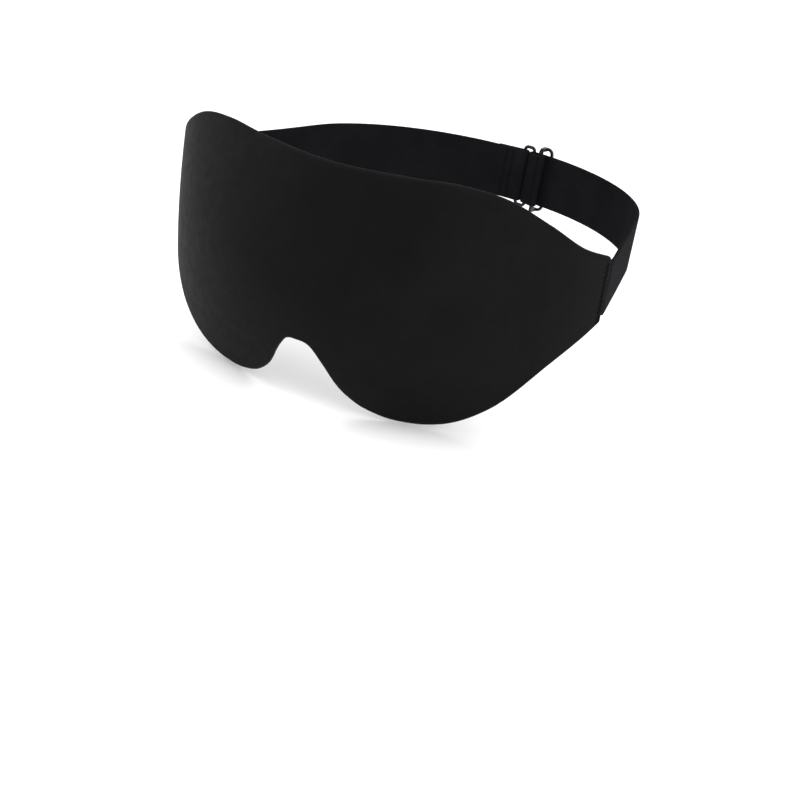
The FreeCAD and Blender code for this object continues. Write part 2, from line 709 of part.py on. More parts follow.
def build_stitching():
    clear = size("stitch_thick") / 2 + size("stitch_clear")
    for name, side in (("left", -1), ("right", 1)):
        u = side * (size("half_length") - size("tab_row"))
        turn = Rotation(Vector(0, 0, 1), math.degrees(u / size("front_radius")))
        places = []
        for depth in (-clear, at_lining_back(u, 0) + clear):
            places += zigzag(lambda rise: Placement(layer_point(u, rise, depth), turn))
        add_stitches("tab_stitching_" + name, places)

    def strap_row(radius, bearing):
        frame = arc_frame(bearing, radius)
        return zigzag(lambda rise: frame.multiply(Placement(Vector(0, 0, rise), Rotation())))

    lay = webbing_layout()
    # Two rows across the left strap hold its fold behind the ring.
    skin = lay["inner"] - size("strap_thick") / 2 - clear
    rows = []
    for distance in (size("ring_row_near"), size("ring_row_far")):
        rows += strap_row(skin, lay["left_bearing"] + math.degrees(distance / lay["inner"]))
    add_stitches("ring_loop_stitching", rows)

    # One row holds the return layer's fold behind the slider bar.
    skin = lay["outer"] - size("bar_drop") - lay["wrap"] - size("strap_thick") / 2 - clear
    row = strap_row(skin, size("slider_angle") - math.degrees(size("slider_row") / skin))
    add_stitches("slider_loop_stitching", row)


def check_and_export():
    doc.recompute()
    for obj in doc.Objects:
        if "Invalid" in obj.State or "Error" in obj.State:
            raise RuntimeError("%s did not compute: %s" % (obj.Name, obj.State))
    os.makedirs("parts", exist_ok=True)
    for part in subparts:
        if part.Shape.isNull() or not part.Shape.isValid():
            raise RuntimeError("%s has no valid shape" % part.Label)
        print("%-24s %d solids %10.1f mm3" % (part.Label, len(part.Shape.Solids), part.Shape.Volume))
        part.Shape.exportStep("parts/%s.step" % part.Label)


build_mask_layers()
build_straps()
build_ring()
build_slider()
build_stitching()
check_and_export()
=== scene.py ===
"""Sleep eye mask: detailed cloth, foam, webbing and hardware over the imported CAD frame.

Metres.  X runs across the face, Y from the brow to the back of the head, Z up.
"""
import math

import bpy
import numpy as np
from mathutils import Matrix, Vector


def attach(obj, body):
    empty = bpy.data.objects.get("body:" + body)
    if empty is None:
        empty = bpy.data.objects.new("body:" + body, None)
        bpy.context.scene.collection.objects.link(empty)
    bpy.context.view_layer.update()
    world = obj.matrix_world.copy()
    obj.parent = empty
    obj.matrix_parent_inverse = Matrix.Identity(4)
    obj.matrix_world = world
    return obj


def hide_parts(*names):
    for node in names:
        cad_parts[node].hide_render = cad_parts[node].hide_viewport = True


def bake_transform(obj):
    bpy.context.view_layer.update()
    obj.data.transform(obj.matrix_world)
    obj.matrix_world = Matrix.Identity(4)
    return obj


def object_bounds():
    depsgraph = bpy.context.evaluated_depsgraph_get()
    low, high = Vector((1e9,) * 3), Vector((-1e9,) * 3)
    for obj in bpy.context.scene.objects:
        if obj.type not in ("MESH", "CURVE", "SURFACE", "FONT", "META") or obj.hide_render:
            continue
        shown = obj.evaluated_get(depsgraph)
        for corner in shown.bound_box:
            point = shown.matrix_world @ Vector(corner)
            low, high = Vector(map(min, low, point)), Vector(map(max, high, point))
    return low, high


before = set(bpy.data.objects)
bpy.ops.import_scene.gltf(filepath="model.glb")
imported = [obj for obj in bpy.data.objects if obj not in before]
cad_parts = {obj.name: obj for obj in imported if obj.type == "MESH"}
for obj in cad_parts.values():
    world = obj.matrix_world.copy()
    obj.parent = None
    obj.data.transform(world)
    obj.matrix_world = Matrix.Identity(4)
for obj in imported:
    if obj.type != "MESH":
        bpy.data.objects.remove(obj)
cad_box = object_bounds()

MM = 0.001

# ------------------------------------------------------------ the mask's shape, as in part.py

HALF_LENGTH = 120 * MM
FRONT_RADIUS = 94.4 * MM
BULGE_SHEAR = -3.6 * MM
BULGE_DEPTH = 15.8 * MM
BULGE_SPAN = 50 * MM
TAB_LIFT = 10 * MM
EYE_OFFSET = 48.3 * MM
CUP_HALF_WIDTH = 24.7 * MM
CUP_HALF_HEIGHT = 19.8 * MM
EGG_TAPER = 0.3
EGG_SCALE = 1.02
PAD_REACH = 56 * MM
PAD_RISE = 14.5 * MM
PAD_LENGTH = 106 * MM
SHOULDER = 11 * MM
SIDE_SOFTNESS = 1.7
THIN_FOAM = 0.85 * MM
CUP_FOAM = 1.0 * MM
LAYER_GAP = 0.15 * MM
PANEL_FRONT = 0.85 * MM
PANEL_BACK = 2.05 * MM
LINING_THICK = 0.5 * MM
# Fine raised lines on the foam round each eye: radii and bearings (degrees) at their two ends.
EYE_RIDGES = [((42.6, 42.6), (106, 154)), ((50.4, 44.0), (-7, 47)), ((45.0, 45.0), (212, 264))]
NOTCH_RIDGE_CENTRE = (0, -26.5 * MM)
NOTCH_RIDGE = ((19.2, 19.2), (16, 164))
RIDGE_HEIGHT = 0.38 * MM
RIDGE_WIDTH = 1.0 * MM
# Outline of the flat mask in millimetres: distance from the middle, height.
BROW_LINE = [(0, 48.9), (30, 49.0), (50, 47.8), (68, 43.1), (88, 32.1), (107, 19.4), (120, 13.2)]
CHIN_LINE = [(0, -18.0), (5, -19.2), (9.8, -26.0), (14.6, -34.8), (20, -40.7), (29, -45.5),
             (42, -47.4), (55, -46.2), (73, -39.3), (98, -23.3), (120, -13.2)]
# Distances in from the edge, where the rows of the cloth lie closest together.
EDGE_ROWS = np.array([0, 0.12, 0.3, 0.55, 0.85, 1.2, 1.7, 2.3, 3.1, 4.1]) * MM
CLOTH = 0.4 * MM
RIM_ROLL = 1.8 * MM
END_ROLL = 0.4 * MM
RIM_THICK = 3.7 * MM


def smooth(fraction):
    f = np.clip(fraction, 0.0, 1.0)
    return f * f * (3 - 2 * f)


def along(points, distance):
    """Height of a smooth line through (distance, height) points, for an array of distances."""
    xs = np.array([p[0] for p in points]) * MM
    ys = np.array([p[1] for p in points]) * MM
    steps = np.diff(xs)
    rises = np.diff(ys) / steps
    slopes = np.zeros(len(xs))
    slopes[1:-1] = (rises[:-1] * steps[1:] + rises[1:] * steps[:-1]) / (steps[1:] + steps[:-1])
    slopes[-1] = rises[-1]
    i = np.clip(np.searchsorted(xs, distance, side="right") - 1, 0, len(steps) - 1)
    span = steps[i]
    f = (distance - xs[i]) / span
    return (ys[i] * (2 * f ** 3 - 3 * f ** 2 + 1) + ys[i + 1] * (3 * f ** 2 - 2 * f ** 3)
            + span * slopes[i] * (f ** 3 - 2 * f ** 2 + f) + span * slopes[i + 1] * (f ** 3 - f ** 2))


def cover_point(u, z):
    """Points of the cover's outer face, u along it from the middle and z up the flat mask."""
    angle = u / FRONT_RADIUS
    share = np.cos(math.pi * u / (2 * HALF_LENGTH))
    height = z / BULGE_SPAN
    curl = (BULGE_SHEAR * height + BULGE_DEPTH * height ** 2) * share
    return np.stack([FRONT_RADIUS * np.sin(angle),
                     FRONT_RADIUS * (1 - np.cos(angle)) + curl,
                     z + TAB_LIFT * (1 - share)], axis=-1)


def inward(u, z):
    """Unit normals of the cover, towards the face."""
    step = 0.05 * MM
    across = cover_point(u + step, z) - cover_point(u - step, z)
    up = cover_point(u, z + step) - cover_point(u, z - step)
    normal = np.cross(up, across)
    return normal / np.linalg.norm(normal, axis=-1, keepdims=True)


def layer_point(u, z, depth):
    return cover_point(u, z) + inward(u, z) * np.asarray(depth)[..., None]


def egg_reach(u, z):
    """0 at a cup's centre, 1 at the edge of its egg-shaped floor, growing outwards."""
    side = (np.abs(u) - EYE_OFFSET) / CUP_HALF_WIDTH
    rise = z / CUP_HALF_HEIGHT
    widening = np.maximum(0.4, 1 - EGG_TAPER * side)
    return np.sqrt(side ** 2 + EGG_SCALE * rise ** 2 / widening)


def arc_ridge(u, z, centre, ends):
    """A narrow raised line along an arc; ends are its two radii (mm) and two bearings (degrees)."""
    (first, last), bearings = ends
    across, up = u - centre[0], z - centre[1]
    distance = np.hypot(across, up)
    bearing = np.degrees(np.arctan2(up, across)) % 360
    middle, half = (bearings[0] + bearings[1]) / 2, abs(bearings[1] - bearings[0]) / 2
    off = (bearing - middle + 180) % 360 - 180
    share = np.clip((off + half) / (2 * half), 0, 1)
    radius = (first + (last - first) * share) * MM
    fade = smooth((half - np.abs(off)) / (0.35 * half))
    return RIDGE_HEIGHT * fade * np.exp(-((distance - radius) / RIDGE_WIDTH) ** 2)


def nose_channel(u, z):
    """Raised ridge inside a moat, over the bridge of the nose: narrow below, round on top."""
    low_radius, high_radius, low, length = 1.3 * MM, 5.6 * MM, 1.5 * MM, 31 * MM
    moat_depth, moat_outside, moat_inside = 3.3 * MM, 2.1 * MM, 1.5 * MM
    ridge_height, ridge_side = 0.6 * MM, 2.6 * MM
    fade_start, fade_length = -3 * MM, 16 * MM
    across, up = np.abs(u), z - low
    slope = (low_radius - high_radius) / length
    level = math.sqrt(1 - slope ** 2)
    travel = -slope * across + level * up
    edge = np.where(travel < 0, np.hypot(across, up) - low_radius,
                    np.where(travel > level * length, np.hypot(across, up - length) - high_radius,
                             level * across + slope * up - low_radius))
    rise = smooth((z - fade_start) / fade_length)
    moat = np.exp(-(edge / np.where(edge > 0, moat_outside, moat_inside)) ** 2)
    ridge = smooth(-edge / ridge_side)
    return rise * (ridge_height * ridge - moat_depth * moat)


def foam_height(u, z):
    """Foam above the panel: thin at the rim, crested round each cup, lower over the nose."""
    flange = 1.3 * MM
    nose_drop, nose_start, nose_length = 0.52, 37 * MM, 16 * MM
    wall_start, wall_reach, wall_lean, wall_bulge = 1.04, 0.66, 0.12, 0.85
    above = np.maximum(along(BROW_LINE, np.abs(u)) - z - flange, 1e-6)
    below = np.maximum(z - along(CHIN_LINE, np.abs(u)) - flange, 1e-6)
    beside = PAD_REACH - np.hypot(np.maximum(0.0, np.abs(u) - EYE_OFFSET), z)
    beside = np.maximum(beside, 1e-6)
    inset = 1.0 / (1.0 / above + 1.0 / below + SIDE_SOFTNESS / beside)
    short = 1.0 - np.minimum(1.0, inset / SHOULDER)
    from_eye = np.hypot(np.abs(u) - EYE_OFFSET, z)
    towards_nose = smooth((EYE_OFFSET - np.abs(u)) / nose_length)
    nose = 1 - nose_drop * smooth((from_eye - nose_start) / nose_length) * towards_nose
    crest = THIN_FOAM + PAD_RISE * nose * (1 - short ** 2)
    crest = crest + nose_channel(u, z) * (1 - short ** 2)
    for ends in EYE_RIDGES:
        crest = crest + arc_ridge(np.abs(u), z, (EYE_OFFSET, 0.0), ends)
    crest = crest + arc_ridge(u, z, NOTCH_RIDGE_CENTRE, NOTCH_RIDGE)
    # The wall is steepest above the cup and towards the nose.
    lean = (z / CUP_HALF_HEIGHT - (np.abs(u) - EYE_OFFSET) / CUP_HALF_WIDTH) / 2
    spread = wall_reach - wall_lean * np.clip(lean, -1, 1)
    outside = np.clip((egg_reach(u, z) - wall_start) / spread, 0, 1)
    climb = np.sin(math.pi / 2 * outside ** wall_bulge)
    pressed = np.minimum(CUP_FOAM, crest)
    return pressed + (crest - pressed) * climb


def lining_depth(u, z):
    """Depth of the lining's face from the cover's."""
    uneven = 0.10 * MM * np.sin(u / (7.3 * MM) + 1.3 * np.sin(z / (11 * MM))) * np.sin(z / (8.1 * MM))
    padded = smooth((foam_height(u, z) - 2 * MM) / (4 * MM))
    return PANEL_BACK + 2 * LAYER_GAP + foam_height(u, z) + LINING_THICK + uneven * padded


def roll(inset, radius):
    """How far a rounded rim has turned away, at a distance in from the edge."""
    short = np.clip(radius - inset, 0, radius)
    return radius - np.sqrt(radius ** 2 - short ** 2)


# ------------------------------------------------------------ meshes

def grid_faces(columns, rows, offset=0, flip=False, closed_rows=False):
    faces = []
    last = rows if closed_rows else rows - 1
    for i in range(columns - 1):
        for j in range(last):
            k = (j + 1) % rows
            quad = (i * rows + j, (i + 1) * rows + j, (i + 1) * rows + k, i * rows + k)
            quad = tuple(offset + v for v in quad)
            faces.append(quad[::-1] if flip else quad)
    return faces


def build(name, points, faces, uvs, body=None, material=None):
    """A smooth mesh object; uvs are one pair a point, in decimetres of cloth."""
    mesh = bpy.data.meshes.new(name)
    mesh.from_pydata(np.asarray(points).reshape(-1, 3).tolist(), [], faces)
    mesh.polygons.foreach_set("use_smooth", [True] * len(mesh.polygons))
    corners = np.zeros(len(mesh.loops), np.int32)
    mesh.loops.foreach_get("vertex_index", corners)
    layer = mesh.uv_layers.new(name="cloth")
    layer.data.foreach_set("uv", (np.asarray(uvs).reshape(-1, 2)[corners] * 10).ravel())
    mesh.validate()
    obj = bpy.data.objects.new(name, mesh)
    bpy.context.scene.collection.objects.link(obj)
    if material:
        mesh.materials.append(material)
    if body:
        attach(obj, body)
    return obj


def grid_normals(points):
    """Unit normals of a grid of points, to the side that its columns-then-rows faces look."""
    normal = np.cross(np.gradient(points, axis=0), np.gradient(points, axis=1))
    return normal / np.maximum(np.linalg.norm(normal, axis=-1, keepdims=True), 1e-12)


def closed_layer(name, outer, inner, uvs, **rest):
    """Two grids of the same size, joined round their edge into one closed piece."""
    columns, rows = outer.shape[:2]
    count = columns * rows
    faces = grid_faces(columns, rows) + grid_faces(columns, rows, offset=count, flip=True)
    rim = [i * rows for i in range(columns)]
    rim += [(columns - 1) * rows + j for j in range(1, rows)]
    rim += [i * rows + rows - 1 for i in range(columns - 2, -1, -1)]
    rim += [j for j in range(rows - 2, 0, -1)]
    for here, after in zip(rim, rim[1:] + rim[:1]):
        faces.append((after, here, here + count, after + count))
    points = np.concatenate([outer.reshape(-1, 3), inner.reshape(-1, 3)])
    return build(name, points, faces, np.concatenate([uvs.reshape(-1, 2)] * 2), **rest)


def mask_grid(half_length, edge_inset=0.0, coarse=False):
    """Places (u, z) over the outline, with the distances to its edge and to its ends."""
    ends = half_length - (EDGE_ROWS if not coarse else EDGE_ROWS[[0, 5, 8]])
    notch = 24 * MM
    fine = 0.6 * MM if not coarse else 2.0 * MM
    wide = 0.95 * MM if not coarse else 2.6 * MM
    inner = np.arange(0, notch - fine / 2, fine)
    outer = np.linspace(notch, ends[-1], int((ends[-1] - notch) / wide))
    half = np.concatenate([inner, outer[:-1], ends[::-1]])
    u = np.concatenate([-half[:0:-1], half])
    low = along(CHIN_LINE, np.abs(u)) + edge_inset
    high = along(BROW_LINE, np.abs(u)) - edge_inset
    tilt_low = np.sqrt(1 + np.gradient(low, u) ** 2)
    tilt_high = np.sqrt(1 + np.gradient(high, u) ** 2)
    steps = EDGE_ROWS if not coarse else EDGE_ROWS[[0, 5, 9]]
    spans = 84 if not coarse else 30
    from_low = low[:, None] + steps * tilt_low[:, None]
    from_high = high[:, None] - steps[::-1] * tilt_high[:, None]
    share = np.linspace(0, 1, spans)[1:-1]
    middle = from_low[:, -1:] + (from_high[:, :1] - from_low[:, -1:]) * share
    z = np.concatenate([from_low, middle, from_high], axis=1)
    u = np.repeat(u[:, None], z.shape[1], axis=1)
    inset = np.minimum((z - low[:, None]) / tilt_low[:, None], (high[:, None] - z) / tilt_high[:, None])
    return u, z, inset, half_length - np.abs(u)


def rim_turn(inset, end):
    return np.maximum(roll(inset, RIM_ROLL), roll(end, END_ROLL))


# ------------------------------------------------------------ materials

def value_node(nodes, kind, **settings):
    node = nodes.new(kind)
    for key, value in settings.items():
        if key in node.inputs:
            node.inputs[key].default_value = value
        else:
            setattr(node, key, value)
    return node


def maths(tree, operation, first, second=None):
    node = tree.nodes.new("ShaderNodeMath")
    node.operation = operation
    for socket, item in zip(node.inputs, (first, second)):
        if item is None:
            continue
        if isinstance(item, (int, float)):
            socket.default_value = item
        else:
            tree.links.new(item, socket)
    return node.outputs[0]


def cloth_coordinates(tree):
    """The cloth's own coordinates in millimetres, along and across."""
    uv = tree.nodes.new("ShaderNodeUVMap")
    uv.uv_map = "cloth"
    split = tree.nodes.new("ShaderNodeSeparateXYZ")
    tree.links.new(uv.outputs[0], split.inputs[0])
    return maths(tree, "MULTIPLY", split.outputs[0], 100.0), maths(tree, "MULTIPLY", split.outputs[1], 100.0)


def noise(tree, scale, detail=3.0, roughness=0.55):
    """Noise over the piece's own place in metres, from 0 to 1."""
    place = tree.nodes.new("ShaderNodeTexCoord")
    node = value_node(tree.nodes, "ShaderNodeTexNoise", Scale=scale, Detail=detail, Roughness=roughness)
    tree.links.new(place.outputs["Object"], node.inputs["Vector"])
    return node.outputs["Fac"]


def wave(tree, coordinate, period, phase=0.0):
    turn = maths(tree, "ADD", maths(tree, "MULTIPLY", coordinate, 2 * math.pi / period), phase)
    return maths(tree, "SINE", turn)


def ranged(tree, source, low, high, from_low=0.3, from_high=0.7):
    node = value_node(tree.nodes, "ShaderNodeMapRange", **{"From Min": from_low, "From Max": from_high,
                                                          "To Min": low, "To Max": high})
    tree.links.new(source, node.inputs["Value"])
    return node.outputs[0]


def mixed(tree, share, first, second):
    node = tree.nodes.new("ShaderNodeMix")
    node.data_type = "RGBA"
    tree.links.new(share, node.inputs["Factor"])
    node.inputs["A"].default_value = (*first, 1)
    node.inputs["B"].default_value = (*second, 1)
    return node.outputs["Result"]


def mottled(scale, detail, dark, light):
    """A colour that drifts between two, as a function that takes the node tree."""
    return lambda tree: mixed(tree, ranged(tree, noise(tree, scale, detail), 0, 1), dark, light)


def patchy(scale, detail, low, high):
    """A roughness that drifts between two, as a function that takes the node tree."""
    return lambda tree: ranged(tree, noise(tree, scale, detail), low, high)


def finish(name, colour, roughness, height=None, height_mm=0.1, sheen=0.0, sheen_roughness=0.5,
           specular=0.5, coat=0.0):
    """A material; colour, roughness and height are functions that take the node tree."""
    material = bpy.data.materials.new(name)
    material.use_nodes = True
    tree = material.node_tree
    shader = tree.nodes["Principled BSDF"]
    tree.links.new(colour(tree), shader.inputs["Base Color"])
    tree.links.new(roughness(tree), shader.inputs["Roughness"])
    shader.inputs["Specular IOR Level"].default_value = specular
    shader.inputs["Sheen Weight"].default_value = sheen
    shader.inputs["Sheen Roughness"].default_value = sheen_roughness
    shader.inputs["Sheen Tint"].default_value = (0.8, 0.85, 0.9, 1)
    shader.inputs["Coat Weight"].default_value = coat
    if height:
        bump = value_node(tree.nodes, "ShaderNodeBump", Distance=height_mm * MM, Strength=1.0)
        tree.links.new(height(tree), bump.inputs["Height"])
        tree.links.new(bump.outputs[0], shader.inputs["Normal"])
    return material


def knit(tree, across, pitch):
    """Small interlocking loops: columns of slanted stitches that mirror each other."""
    u, v = cloth_coordinates(tree)
    column = wave(tree, u, across)
    slant = maths(tree, "MULTIPLY", maths(tree, "ABSOLUTE", column), 1.7)
    turn = maths(tree, "MULTIPLY", v, 2 * math.pi / pitch)
    loop = maths(tree, "SINE", maths(tree, "ADD", turn, slant))
    both = maths(tree, "ADD", maths(tree, "MULTIPLY", loop, 0.5), maths(tree, "ABSOLUTE", column))
    return maths(tree, "ADD", both, maths(tree, "MULTIPLY", noise(tree, 900, 2), 0.6))


def webbing_weave(tree):
    """Elastic webbing: ribs across it, broken up by fine lengthwise cords and firm edges."""
    u, v = cloth_coordinates(tree)
    rib = maths(tree, "ABSOLUTE", wave(tree, u, 1.7))
    cord = wave(tree, v, 0.9, 0.4)
    brick = maths(tree, "MULTIPLY", wave(tree, u, 1.7), cord)
    both = maths(tree, "ADD", maths(tree, "MULTIPLY", rib, 0.75), maths(tree, "MULTIPLY", brick, 0.45))
    return maths(tree, "ADD", both, maths(tree, "MULTIPLY", noise(tree, 700, 2), 0.35))


def faint_knit(tree, across, pitch):
    """The knit seen through a satin finish: mostly uneven yarn, the loops hardly standing out."""
    grain = maths(tree, "ADD", noise(tree, 1150, 3), maths(tree, "MULTIPLY", noise(tree, 330, 3), 0.7))
    return maths(tree, "ADD", grain, maths(tree, "MULTIPLY", knit(tree, across, pitch), 0.08))


COVER_CLOTH = finish(
    "satin_cover",
    mottled(38, 4, (0.0026, 0.0028, 0.0026), (0.0038, 0.0041, 0.0038)),
    patchy(260, 4, 0.60, 0.70),
    lambda t: faint_knit(t, 0.75, 0.55), 0.03, sheen=0.004, sheen_roughness=0.45, specular=0.05)
LINING_CLOTH = finish(
    "lining_knit",
    mottled(45, 4, (0.0042, 0.0044, 0.0043), (0.0065, 0.0067, 0.0065)),
    patchy(300, 4, 0.44, 0.58),
    lambda t: knit(t, 0.95, 0.75), 0.05, sheen=0.03, sheen_roughness=0.4, specular=0.3)
CUP_CLOTH = finish(
    "cup_knit",
    mottled(500, 4, (0.0075, 0.0078, 0.0077), (0.0130, 0.0134, 0.0130)),
    patchy(400, 4, 0.72, 0.86),
    lambda t: knit(t, 1.1, 0.9), 0.09, sheen=0.06, sheen_roughness=0.5, specular=0.2)
WEBBING_DARK = (0.0056, 0.0057, 0.0066)
WEBBING_LIGHT = (0.0080, 0.0082, 0.0094)
WEBBING = finish(
    "webbing",
    mottled(60, 4, WEBBING_DARK, WEBBING_LIGHT),
    patchy(350, 4, 0.72, 0.84),
    webbing_weave, 0.09, sheen=0.002, sheen_roughness=0.45, specular=0.008)
FOAM = finish(
    "pad_foam",
    mottled(1500, 2, (0.020, 0.020, 0.021), (0.045, 0.045, 0.046)),
    patchy(200, 4, 0.85, 0.95),
    lambda t: noise(t, 2200, 3), 0.2)
STIFFENER = finish(
    "stiffener",
    mottled(90, 3, (0.016, 0.016, 0.017), (0.024, 0.024, 0.025)),
    patchy(300, 4, 0.55, 0.7),
    lambda t: noise(t, 800, 3), 0.04)
GLOSS_PLASTIC = finish(
    "gloss_plastic",
    mottled(120, 3, (0.0035, 0.0035, 0.0038), (0.0050, 0.0050, 0.0056)),
    patchy(450, 4, 0.26, 0.38),
    lambda t: noise(t, 500, 2), 0.015, specular=0.25, coat=0.08)
THREAD = finish(
    "thread",
    mottled(1800, 2, (0.0022, 0.0022, 0.0026), (0.0040, 0.0040, 0.0044)),
    patchy(900, 2, 0.45, 0.6),
    lambda t: noise(t, 5000, 2), 0.03, sheen=0.002, specular=0.02)
# The strap's thread has the webbing's own colour, so that its rows hardly stand out.
STRAP_THREAD = finish(
    "strap_thread",
    mottled(1800, 2, WEBBING_DARK, WEBBING_LIGHT),
    patchy(900, 2, 0.72, 0.84),
    lambda t: noise(t, 5000, 2), 0.03, sheen=0.002, specular=0.008)


# ------------------------------------------------------------ front cover, stiffener, foam, lining

def uv_of(u, z):
    return np.stack([u, z], axis=-1)


def make_cover():
    u, z, inset, end = mask_grid(HALF_LENGTH)
    outer = layer_point(u, z, rim_turn(inset, end))
    inner = outer - grid_normals(outer) * CLOTH
    cover = closed_layer("cover_cloth", outer, inner, uv_of(u, z), body="mask", material=COVER_CLOTH)
    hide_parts("front_cover")
    return cover


SETTLING_FRAMES = 20
FURTHEST_MOVE = 1.3 * MM


def settle_lining(u, z, inset, end):
    """Moves of a coarse copy of the lining under slight air pressure, as cloth, on its own grid."""
    points = layer_point(u, z, lining_depth(u, z))
    columns, rows = u.shape
    form = build("lining_form", points, grid_faces(columns, rows, flip=True), uv_of(u, z))
    rim_held, rim_fade, tab_held, tab_fade = 3 * MM, 4 * MM, 18 * MM, 6 * MM
    cup_held, cup_fade = 1.15, 0.25
    free = smooth((inset - rim_held) / rim_fade) * smooth((end - tab_held) / tab_fade)
    free = free * smooth((egg_reach(u, z) - cup_held) / cup_fade)
    pinned = form.vertex_groups.new(name="pinned")
    for index, share in enumerate((1 - free).ravel()):
        pinned.add([index], float(share), "REPLACE")
    cloth = form.modifiers.new("cloth", "CLOTH")
    cloth.settings.quality = 6
    cloth.settings.mass = 0.2
    cloth.settings.tension_stiffness = 25
    cloth.settings.compression_stiffness = 12
    cloth.settings.shear_stiffness = 8
    cloth.settings.bending_stiffness = 0.4
    cloth.settings.vertex_group_mass = "pinned"
    cloth.settings.use_pressure = True
    cloth.settings.uniform_pressure_force = 3.0
    cloth.settings.effector_weights.gravity = 0
    cloth.collision_settings.use_collision = False
    scene = bpy.context.scene
    cloth.point_cache.frame_start = 1
    cloth.point_cache.frame_end = SETTLING_FRAMES
    for number in range(1, SETTLING_FRAMES + 1):
        scene.frame_set(number)
    settled = form.evaluated_get(bpy.context.evaluated_depsgraph_get())
    place = np.zeros(columns * rows * 3)
    settled.data.vertices.foreach_get("co", place)
    moves = place.reshape(columns, rows, 3) - points
    scene.frame_set(1)
    bpy.data.objects.remove(form)
    length = np.linalg.norm(moves, axis=-1, keepdims=True)
    moves = moves * np.minimum(1, FURTHEST_MOVE / np.maximum(length, 1e-9))
    return moves * free[..., None]


def spread_moves(moves, coarse_u, fine_u, coarse_z, fine_z):
    """The coarse grid's moves on the fine grid, read along each column and then across."""
    share_coarse = (coarse_z - coarse_z[:, :1]) / (coarse_z[:, -1:] - coarse_z[:, :1])
    share_fine = (fine_z - fine_z[:, :1]) / (fine_z[:, -1:] - fine_z[:, :1])
    coarse_line, fine_line = coarse_u[:, 0], fine_u[:, 0]
    right = np.clip(np.searchsorted(coarse_line, fine_line), 1, len(coarse_line) - 1)
    left = right - 1
    share = (fine_line - coarse_line[left]) / (coarse_line[right] - coarse_line[left])
    result = np.zeros(fine_u.shape + (3,))
    for i in range(len(fine_line)):
        for axis in range(3):
            a = np.interp(share_fine[i], share_coarse[left[i]], moves[left[i], :, axis])
            b = np.interp(share_fine[i], share_coarse[right[i]], moves[right[i], :, axis])
            result[i, :, axis] = a + (b - a) * share[i]
    return result


def make_lining():
    u, z, inset, end = mask_grid(HALF_LENGTH)
    face = layer_point(u, z, lining_depth(u, z) - rim_turn(inset, end))
    moves = np.zeros_like(face)
    coarse = mask_grid(HALF_LENGTH, coarse=True)
    moves = spread_moves(settle_lining(*coarse), coarse[0], u, coarse[1], z)
    face = face + moves
    # The grid's normals look to the front, where the foam is.
    back = face + grid_normals(face) * CLOTH
    lining = closed_layer("lining_cloth", back, face, uv_of(u, z), body="mask", material=LINING_CLOTH)
    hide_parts("face_lining")
    return lining, (u, z, moves)


def make_core(lining_shape):
    """The stiffener and the foam, a little inside the rim that the two cloths close."""
    u, z, inset, end = mask_grid(PAD_LENGTH, edge_inset=1.8 * MM)
    zeros = np.zeros_like(u)
    panel = closed_layer("stiffener_sheet", layer_point(u, z, zeros + PANEL_FRONT),
                         layer_point(u, z, zeros + PANEL_BACK), uv_of(u, z),
                         body="mask", material=STIFFENER)
    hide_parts("front_panel")
    fine_u, fine_z, moves = lining_shape
    moves = spread_moves(moves, fine_u, u, fine_z, z)
    front = layer_point(u, z, zeros + PANEL_BACK + LAYER_GAP)
    clearance = 0.12 * MM
    gap = CLOTH + clearance
    back = layer_point(u, z, np.maximum(lining_depth(u, z) - gap, PANEL_BACK + 2 * LAYER_GAP)) + moves
    foam = closed_layer("contour_foam", front, back, uv_of(u, z), body="mask", material=FOAM)
    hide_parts("foam_pad")


def make_cup_floor(name, side):
    """An egg-shaped fabric disc laid on the bottom of a cup, its edge just rounded over."""
    rings = np.concatenate([np.linspace(0, 0.96, 22)[1:], [0.975, 0.988, 0.996, 1.0]])
    turns = np.linspace(0, 2 * math.pi, 97)[:-1]
    ring, turn = np.meshgrid(rings, turns, indexing="ij")
    widening = np.sqrt((1 - EGG_TAPER * np.cos(turn)) / EGG_SCALE)
    u = side * (EYE_OFFSET + ring * CUP_HALF_WIDTH * np.cos(turn))
    z = ring * CUP_HALF_HEIGHT * np.sin(turn) * widening
    clearance, thick, edge_round, dome = 0.02 * MM, 0.95 * MM, 0.5 * MM, 0.25 * MM
    base = lining_depth(u, z) + clearance
    edge = (1 - ring) * CUP_HALF_HEIGHT
    rise = thick - roll(edge, edge_round) + dome * (1 - ring ** 2)
    top = layer_point(u, z, base + rise)
    bottom = layer_point(u, z, base)
    count = top.shape[0] * top.shape[1]
    wide = top.shape[1]
    centre_u, centre_z = np.array([side * EYE_OFFSET]), np.array([0.0])
    floor = lining_depth(centre_u, centre_z) + clearance
    middles = np.concatenate([layer_point(centre_u, centre_z, floor + thick + dome),
                              layer_point(centre_u, centre_z, floor)])
    flip = side > 0
    faces = grid_faces(len(rings), wide, flip=flip, closed_rows=True)
    faces += grid_faces(len(rings), wide, offset=count, flip=not flip, closed_rows=True)
    for j in range(wide):
        k = (j + 1) % wide
        outside = (len(rings) - 1) * wide
        fans = [(2 * count, j, k), (2 * count + 1, count + k, count + j),
                (outside + k, outside + j, outside + count + j, outside + count + k)]
        faces += [face[::-1] if flip else face for face in fans]
    points = np.concatenate([top.reshape(-1, 3), bottom.reshape(-1, 3), middles])
    flat = uv_of(u, z).reshape(-1, 2)
    middle_uv = np.array([[side * EYE_OFFSET, 0.0]] * 2)
    return build(name, points, faces, np.concatenate([flat, flat, middle_uv]),
                 body="mask", material=CUP_CLOTH)


# ------------------------------------------------------------ straps, as in part.py

